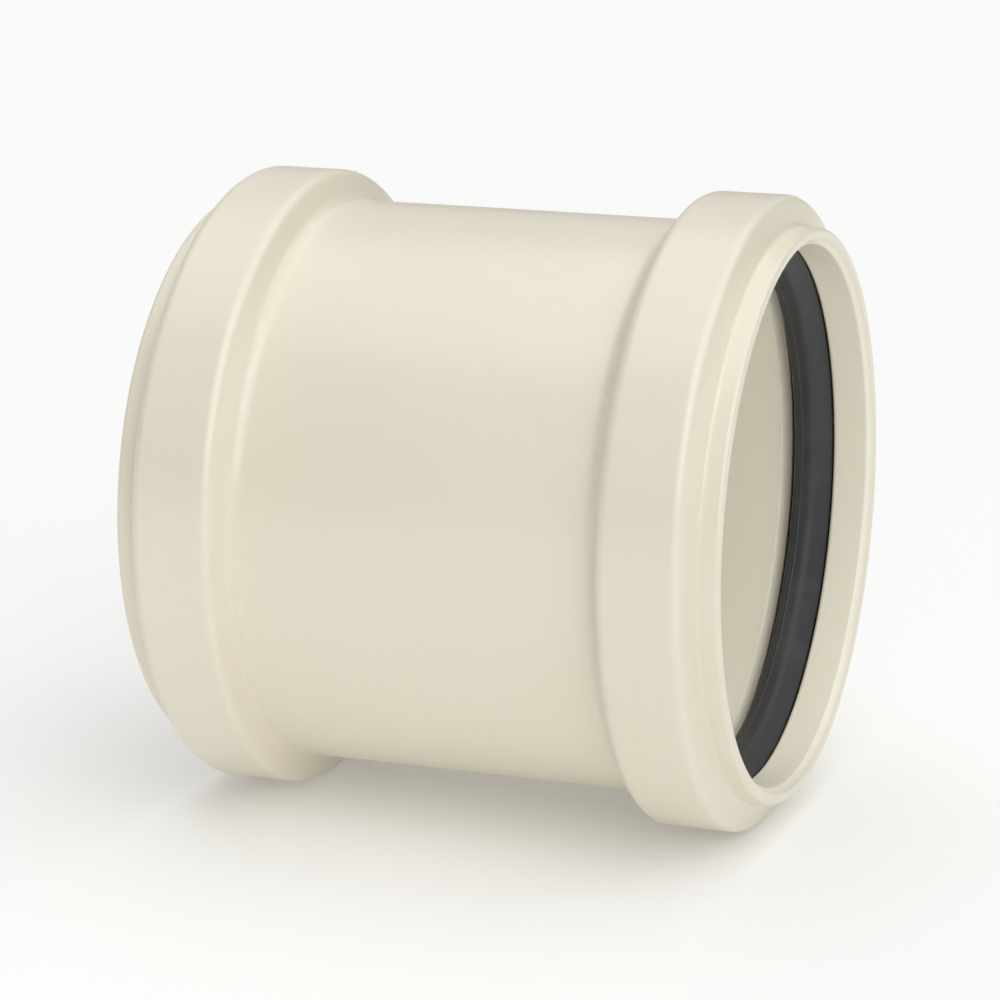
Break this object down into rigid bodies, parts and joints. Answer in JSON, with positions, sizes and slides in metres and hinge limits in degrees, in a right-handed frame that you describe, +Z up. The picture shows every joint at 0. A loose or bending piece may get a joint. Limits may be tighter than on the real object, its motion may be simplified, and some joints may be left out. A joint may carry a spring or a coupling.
{
  "type": "push fit pipe coupling",
  "caption": "Double-socket push fit coupling for drain pipe, a cream plastic barrel with a ring housing at each end and a dark rubber sealing ring in each mouth.",
  "frame": {"origin": "centre of the coupling, on its axis, midway between the two rims", "axes": "+X along the coupling's axis, out of the right socket; +Z up, with the coupling lying on its ring housings"},
  "size_m": [0.116, 0.12, 0.12],
  "materials": {
    "cream_pvc": "satin gloss moulded PVC-U",
    "seal_rubber": "matte moulded rubber"
  },
  "bodies": {
    "root": {"coupling_body": "cream_pvc", "seal_ring_left": "seal_rubber", "seal_ring_right": "seal_rubber"}
  },
  "joints": []
}
